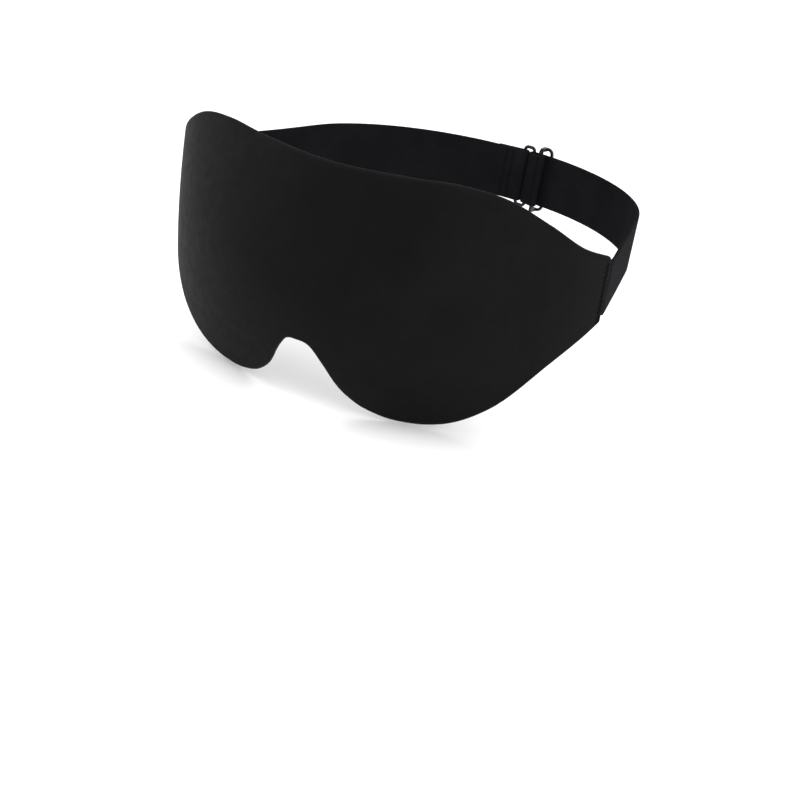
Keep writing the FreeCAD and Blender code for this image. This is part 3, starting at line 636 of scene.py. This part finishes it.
STRAP_WIDTH = 23 * MM
STRAP_THICK = 1.2 * MM
STRAP_DROP = 5.0
STRAP_LIFT = 9.8 * MM
STRAP_INSERT = 6.5 * MM
BEND_RADIUS = 10 * MM
HINGE_Y = 70 * MM
BACK_RADIUS = 75.7 * MM
BACK_CENTRE = 118.3 * MM
WIRE_THICK = 1.4 * MM
WRAP_GAP = 0.15 * MM
RING_ANGLE = 87.4
RING_WIDTH = 5.8 * MM
SLIDER_ANGLE = 82.4
BAR_DROP = 2.9 * MM
RUN_GAP = 0.1 * MM
TAIL_LENGTH = 12 * MM
LOOP_TAIL = 2.9 * MM
TAB_DEPTH = 1.95 * MM


def polar(radius, degrees, centre=(0.0, 0.0)):
    angle = math.radians(degrees)
    return (centre[0] + radius * math.cos(angle), centre[1] + radius * math.sin(angle))


WRAP = WIRE_THICK / 2 + WRAP_GAP + STRAP_THICK / 2
HALF_BARS = (RING_WIDTH - WIRE_THICK) / 2
BARS_RADIUS = math.hypot(BACK_RADIUS, HALF_BARS)
SWING = math.degrees(math.atan2(HALF_BARS, BACK_RADIUS))
BACK = (0.0, BACK_CENTRE)
OUTER = BARS_RADIUS + WRAP
INNER = BARS_RADIUS - WRAP
RIGHT_BEARING = RING_ANGLE - SWING
LEFT_BEARING = RING_ANGLE + SWING
RIGHT_BAR = polar(BARS_RADIUS, RIGHT_BEARING, BACK)
LEFT_BAR = polar(BARS_RADIUS, LEFT_BEARING, BACK)
SLIDER_BAR = polar(OUTER - BAR_DROP, SLIDER_ANGLE, BACK)
TAB_CENTRE = (0.0, FRONT_RADIUS)
TAB_RADIUS = FRONT_RADIUS - TAB_DEPTH
TAB_END = math.degrees(HALF_LENGTH / FRONT_RADIUS) - 90
BEND_CENTRE = polar(TAB_RADIUS - BEND_RADIUS, TAB_END, TAB_CENTRE)


def sampled(route, step):
    """Points every step or less along arcs (centre, radius, start, end) and lines (from, to)."""
    points = []
    for piece in route:
        if len(piece) == 4:
            centre, radius, start, end = piece
            count = max(2, int(abs(math.radians(end - start)) * radius / step) + 1)
            stretch = [polar(radius, start + (end - start) * k / count, centre) for k in range(count + 1)]
        else:
            (x0, y0), (x1, y1) = piece
            count = max(2, int(math.hypot(x1 - x0, y1 - y0) / step) + 1)
            stretch = [(x0 + (x1 - x0) * k / count, y0 + (y1 - y0) * k / count) for k in range(count + 1)]
        points += stretch if not points else stretch[1:]
    return np.array(points)


def side_line(outer_radius):
    """Bearing of the straight stretch's normal, and its ends, for a back curve's radius."""
    gap = math.hypot(BACK[0] - BEND_CENTRE[0], BACK[1] - BEND_CENTRE[1])
    rise = outer_radius - BEND_RADIUS
    run = math.sqrt(gap ** 2 - rise ** 2)
    heading = math.atan2(BACK[1] - BEND_CENTRE[1], BACK[0] - BEND_CENTRE[0]) - math.atan2(rise, run)
    normal = math.degrees(heading) - 90
    return normal, polar(BEND_RADIUS, normal, BEND_CENTRE), polar(outer_radius, normal, BACK)


def section(width, thick):
    """Outline of webbing: flat faces, round edges; (across, out) pairs, all the way round."""
    radius = thick / 2
    flat = np.linspace(-1, 1, 15) * (width / 2 - radius)
    turns = np.linspace(0, math.pi, 7)[1:-1]
    upper = [(w, radius) for w in flat]
    upper += [(width / 2 - radius + radius * math.sin(t), radius * math.cos(t)) for t in turns]
    lower = [(-w, -radius) for w in flat]
    lower += [(-(width / 2 - radius + radius * math.sin(t)), -radius * math.cos(t)) for t in turns]
    return np.array(upper + lower)


STRAP_AXES = np.array(Matrix.Rotation(math.radians(-STRAP_DROP), 3, "X"))


def strap_space(plan, height):
    """Points of the strap's sloping plane, and off it by a height, in the row frame."""
    flat = np.stack([plan[..., 0], plan[..., 1] - HINGE_Y, height], axis=-1)
    return flat @ STRAP_AXES.T + np.array([0, HINGE_Y, STRAP_LIFT])


def webbing(name, plan, taper=None, **rest):
    """Webbing along plan points; taper gives (lower, upper) shares of half the width for a travel."""
    headings = np.gradient(plan, axis=0)
    headings /= np.linalg.norm(headings, axis=1, keepdims=True)
    sideways = np.stack([-headings[:, 1], headings[:, 0]], axis=1)
    travel = np.concatenate([[0], np.cumsum(np.linalg.norm(np.diff(plan, axis=0), axis=1))])
    outline = section(STRAP_WIDTH, STRAP_THICK)
    count, sides = len(plan), len(outline)
    across = np.repeat(outline[None, :, 0], count, axis=0)
    if taper is not None:
        lower, upper = taper(travel)
        across = np.where(across < 0, across * lower[:, None], across * upper[:, None])
    out = outline[None, :, 1]
    flat = plan[:, None, :] + sideways[:, None, :] * out[..., None]
    points = strap_space(flat, across)
    faces = grid_faces(count, sides, closed_rows=True)
    faces += [tuple(range(sides)), tuple(range((count - 1) * sides, count * sides))[::-1]]
    uvs = np.stack([np.repeat(travel[:, None], sides, axis=1), across], axis=-1)
    return build(name, points, faces, uvs, material=WEBBING, **rest)


def tab_taper(travel):
    """The webbing is drawn in a little where it is sewn into the tab, and hangs lower just past it."""
    sewn, freeing, levelling = 7 * MM, 9 * MM, 45 * MM
    drawn_below, drawn_above, drop = 0.13, 0.03, 0.07
    freed = smooth((travel - sewn) / freeing)
    level = smooth((travel - levelling) / levelling)
    hang = drop * freed * (1 - level)
    return 1 - drawn_below * (1 - freed) + hang, 1 - drawn_above * (1 - freed) - hang


def side_route(radius):
    first = math.degrees((HALF_LENGTH - STRAP_INSERT) / FRONT_RADIUS) - 90
    normal, start, end = side_line(radius)
    return [(TAB_CENTRE, TAB_RADIUS, first, TAB_END),
            (BEND_CENTRE, BEND_RADIUS, TAB_END, normal), (start, end)], normal


def make_straps():
    step = 0.8 * MM
    route, normal = side_route(OUTER)
    return_heading = math.degrees(math.atan2(SLIDER_BAR[1] - RIGHT_BAR[1], SLIDER_BAR[0] - RIGHT_BAR[0]))
    route += [(BACK, OUTER, normal, RIGHT_BEARING),
              (RIGHT_BAR, WRAP, RIGHT_BEARING, return_heading - 90 + 360)]
    right = webbing("strap_band_right", sampled(route, step), taper=tab_taper)
    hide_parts("strap_end_right", "strap_right")
    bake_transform(right)

    # Measured from the tab on the other side of the mask, so its plan is mirrored afterwards.
    route, normal = side_route(INNER)
    laid_on = INNER + STRAP_THICK + RUN_GAP
    run = math.sqrt(BARS_RADIUS ** 2 - (laid_on - WRAP) ** 2)
    fold = LEFT_BEARING - math.degrees(math.atan2(run, laid_on - WRAP))
    tail_bearing = 2 * LEFT_BEARING - fold
    tail_start = polar(WRAP, tail_bearing, LEFT_BAR)
    tail_end = polar(TAIL_LENGTH, tail_bearing + 90, tail_start)
    mirrored_run = sampled(route + [(BACK, INNER, normal, 180 - LEFT_BEARING)], step) * np.array([-1, 1])
    fold_run = sampled([(LEFT_BAR, WRAP, LEFT_BEARING - 180, tail_bearing)], 0.3 * MM)
    tail_run = sampled([(tail_start, tail_end)], step)
    plan = np.concatenate([mirrored_run, fold_run[1:], tail_run[1:]])
    left = webbing("strap_band_left", plan, taper=tab_taper)
    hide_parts("strap_end_left", "strap_left")
    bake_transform(left)

    return_start = polar(WRAP, return_heading - 90, RIGHT_BAR)
    return_end = polar(WRAP, return_heading - 90, SLIDER_BAR)
    loop_end = polar(WRAP, SLIDER_ANGLE, SLIDER_BAR)
    route = [(return_start, return_end), (SLIDER_BAR, WRAP, return_heading - 90, SLIDER_ANGLE),
             (loop_end, polar(LOOP_TAIL, SLIDER_ANGLE + 90, loop_end))]
    back = webbing("strap_return_layer", sampled(route, 0.3 * MM))
    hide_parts("strap_return", "slider_loop")
    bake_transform(back)


# ------------------------------------------------------------ thread

def add_thread(points, faces, ends, out, radius, arch):
    """One stitch: a bowed strand from end to end that dips into the cloth at both."""
    steps, sides = 7, 6
    start, end = np.array(ends[0]), np.array(ends[1])
    out = np.array(out) / np.linalg.norm(out)
    run = (end - start) / np.linalg.norm(end - start)
    side = np.cross(run, out)
    base = len(points)
    for k in range(steps):
        f = k / (steps - 1)
        swell = math.sin(math.pi * f)
        middle = start + (end - start) * f + out * (arch * swell)
        thick = radius * (0.35 + 0.65 * min(1.0, 2.2 * swell))
        for s in range(sides):
            turn = 2 * math.pi * s / sides
            points.append(middle + (side * math.cos(turn) + out * math.sin(turn)) * thick)
    faces += grid_faces(steps, sides, offset=base, closed_rows=True)
    faces.append(tuple(base + s for s in range(sides)))
    faces.append(tuple(base + (steps - 1) * sides + s for s in reversed(range(sides))))


def zigzag(name, corner, count, out, body, nodes, thread):
    """A zigzag row; corner(k) gives its turning points, out(k) the way off the cloth."""
    points, faces = [], []
    for k in range(count):
        add_thread(points, faces, (corner(k), corner(k + 1)), out(k), 0.17 * MM, 0.14 * MM)
    points = np.array(points)
    row = build(name, points, faces, points[:, [0, 2]], body=body, material=thread)
    if nodes:
        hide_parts(*nodes)
    return row


STITCH_LEGS = 24
TAB_ROW = 24 * MM
STRAP_ROW = 22 * MM
RING_ROWS = (4.6 * MM, 7.6 * MM)
SLIDER_ROW = 0.3 * MM


def row_height(k, length):
    """Height of a zigzag's turning point, in a row centred on the webbing."""
    return np.array((k / STITCH_LEGS - 0.5) * length)


def slant(k):
    """Half a leg's slant: one way at even turning points, the other way at odd ones."""
    return (0.5 if k % 2 else -0.5) * MM


def stitch_tabs():
    """A zigzag near each tab's end, on the cover and on the lining."""
    near_end, far_end, lift = 0.7 * MM, 2.7 * MM, 0.02 * MM
    for name, side in (("left", -1), ("right", 1)):
        for face, turned in (("outer", 1), ("inner", -1)):
            def corner(k, turned=turned, side=side):
                u = np.array(side * (HALF_LENGTH - (near_end if k % 2 else far_end)))
                return layer_point(u, row_height(k, TAB_ROW), -lift if turned > 0 else RIM_THICK + lift)

            def out(k, turned=turned, side=side):
                return inward(np.array(side * HALF_LENGTH), np.array(0.0)) * -turned

            nodes = ["tab_stitching_" + name] if turned > 0 else []
            zigzag("tab_zigzag_%s_%s" % (name, face), corner, STITCH_LEGS, out, "mask", nodes, THREAD)


def stitch_ring_loop():
    """Two zigzags across the fold at the ring, each on both of its sides."""
    tail = INNER + STRAP_THICK + RUN_GAP
    inside = INNER - STRAP_THICK / 2 - 0.03 * MM
    outside = tail + STRAP_THICK / 2 + 0.05 * MM
    for number, row in enumerate(RING_ROWS):
        for face, radius, turned in (("inner", inside, -1), ("outer", outside, 1)):
            def corner(k, row=row, radius=radius):
                bearing = LEFT_BEARING + math.degrees((row + slant(k)) / INNER)
                return strap_space(np.array(polar(radius, bearing, BACK)), row_height(k, STRAP_ROW))

            def out(k, row=row, turned=turned):
                bearing = LEFT_BEARING + math.degrees(row / INNER)
                here = strap_space(np.array(polar(INNER, bearing, BACK)), np.array(0.0))
                return (here - strap_space(np.array(BACK), np.array(0.0))) * turned

            nodes = ["ring_loop_stitching"] if number == 0 and turned < 0 else []
            title = "ring_loop_zigzag_%d_%s" % (number + 1, face)
            zigzag(title, corner, STITCH_LEGS, out, "strap", nodes, STRAP_THREAD)


def stitch_slider_loop():
    """One zigzag across the fold at the slider, on the side towards the head."""
    skin = OUTER - BAR_DROP - WRAP - STRAP_THICK / 2 - 0.03 * MM

    def corner(k):
        bearing = SLIDER_ANGLE + math.degrees((SLIDER_ROW + slant(k)) / skin)
        return strap_space(np.array(polar(skin, bearing, BACK)), row_height(k, STRAP_ROW))

    def out(k):
        here = strap_space(np.array(polar(skin, SLIDER_ANGLE, BACK)), np.array(0.0))
        return strap_space(np.array(BACK), np.array(0.0)) - here

    nodes = ["slider_loop_stitching"]
    zigzag("slider_loop_zigzag", corner, STITCH_LEGS, out, "slider", nodes, STRAP_THREAD)


def make_hardware():
    for name in ("ring", "slider"):
        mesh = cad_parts[name].data
        mesh.materials.clear()
        mesh.materials.append(GLOSS_PLASTIC)


# ------------------------------------------------------------ floor, light and camera

def make_stage():
    floor_material = finish(
        "pale_floor",
        mottled(3, 2, (0.93, 0.93, 0.93), (0.95, 0.95, 0.95)),
        patchy(40, 3, 0.8, 0.9))
    drop = cad_box[0][2] - 0.4 * MM
    reach = 4.0
    corners = [(-reach, -reach, drop), (reach, -reach, drop), (reach, reach, drop), (-reach, reach, drop)]
    floor = build("floor", np.array(corners), [(0, 1, 2, 3)], np.zeros((4, 2)), material=floor_material)
    world = bpy.data.worlds.new("studio")
    world.use_nodes = True
    world.node_tree.nodes["Background"].inputs["Color"].default_value = (1, 1, 1, 1)
    world.node_tree.nodes["Background"].inputs["Strength"].default_value = 0.62
    bpy.context.scene.world = world
    bpy.context.scene.view_settings.view_transform = "Standard"


def area_light(name, place, target, size, power):
    lamp = bpy.data.lights.new(name, "AREA")
    lamp.energy = power
    lamp.shape = "RECTANGLE"
    lamp.size, lamp.size_y = size
    obj = bpy.data.objects.new(name, lamp)
    bpy.context.scene.collection.objects.link(obj)
    obj.location = place
    obj.rotation_euler = (Vector(target) - Vector(place)).to_track_quat("-Z", "Y").to_euler()
    return obj


def make_lights():
    target = (0, 0.08, 0)
    area_light("left_softbox", (-0.9, -0.2, 0.4), target, (0.7, 0.9), 7)
    area_light("right_softbox", (0.85, -0.4, 0.4), target, (0.6, 0.9), 8)
    area_light("top_softbox", (0.0, 0.6, 1.6), (0, 0.6, 0), (2.6, 2.6), 30)


CAMERA_PLACE = Vector((262.81, -488.005, 237.734)) * MM
CAMERA_AZIMUTH = math.radians(24.017)
CAMERA_ELEVATION = math.radians(26.143)
CAMERA_ROLL = math.radians(8.325)
CAMERA_LENS = 76.86


def make_camera():
    back = Vector((math.sin(CAMERA_AZIMUTH) * math.cos(CAMERA_ELEVATION),
                   -math.cos(CAMERA_AZIMUTH) * math.cos(CAMERA_ELEVATION),
                   math.sin(CAMERA_ELEVATION)))
    right = (-back).cross(Vector((0, 0, 1))).normalized()
    up = right.cross(-back)
    turned_right = right * math.cos(CAMERA_ROLL) + up * math.sin(CAMERA_ROLL)
    turned_up = up * math.cos(CAMERA_ROLL) - right * math.sin(CAMERA_ROLL)
    lens = bpy.data.cameras.new("camera")
    lens.lens = CAMERA_LENS
    lens.sensor_width = 36
    camera = bpy.data.objects.new("camera", lens)
    bpy.context.scene.collection.objects.link(camera)
    camera.matrix_world = Matrix((
        (turned_right.x, turned_up.x, back.x, CAMERA_PLACE.x),
        (turned_right.y, turned_up.y, back.y, CAMERA_PLACE.y),
        (turned_right.z, turned_up.z, back.z, CAMERA_PLACE.z),
        (0, 0, 0, 1)))
    bpy.context.scene.camera = camera


def flat_area():
    """Area of the cut cloth, from the outline of the flat mask."""
    u = np.linspace(-HALF_LENGTH, HALF_LENGTH, 2001)
    tall = along(BROW_LINE, np.abs(u)) - along(CHIN_LINE, np.abs(u))
    return float(np.sum((tall[1:] + tall[:-1]) / 2 * np.diff(u)))


cover = make_cover()
lining, lining_shape = make_lining()
make_core(lining_shape)
for name, side in (("left", -1), ("right", 1)):
    disc = make_cup_floor("cup_disc_" + name, side)
    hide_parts("cup_floor_" + name)
flat_area()
flat_area()
make_straps()
stitch_tabs()
stitch_ring_loop()
stitch_slider_loop()
make_hardware()
make_stage()
make_lights()
make_camera()
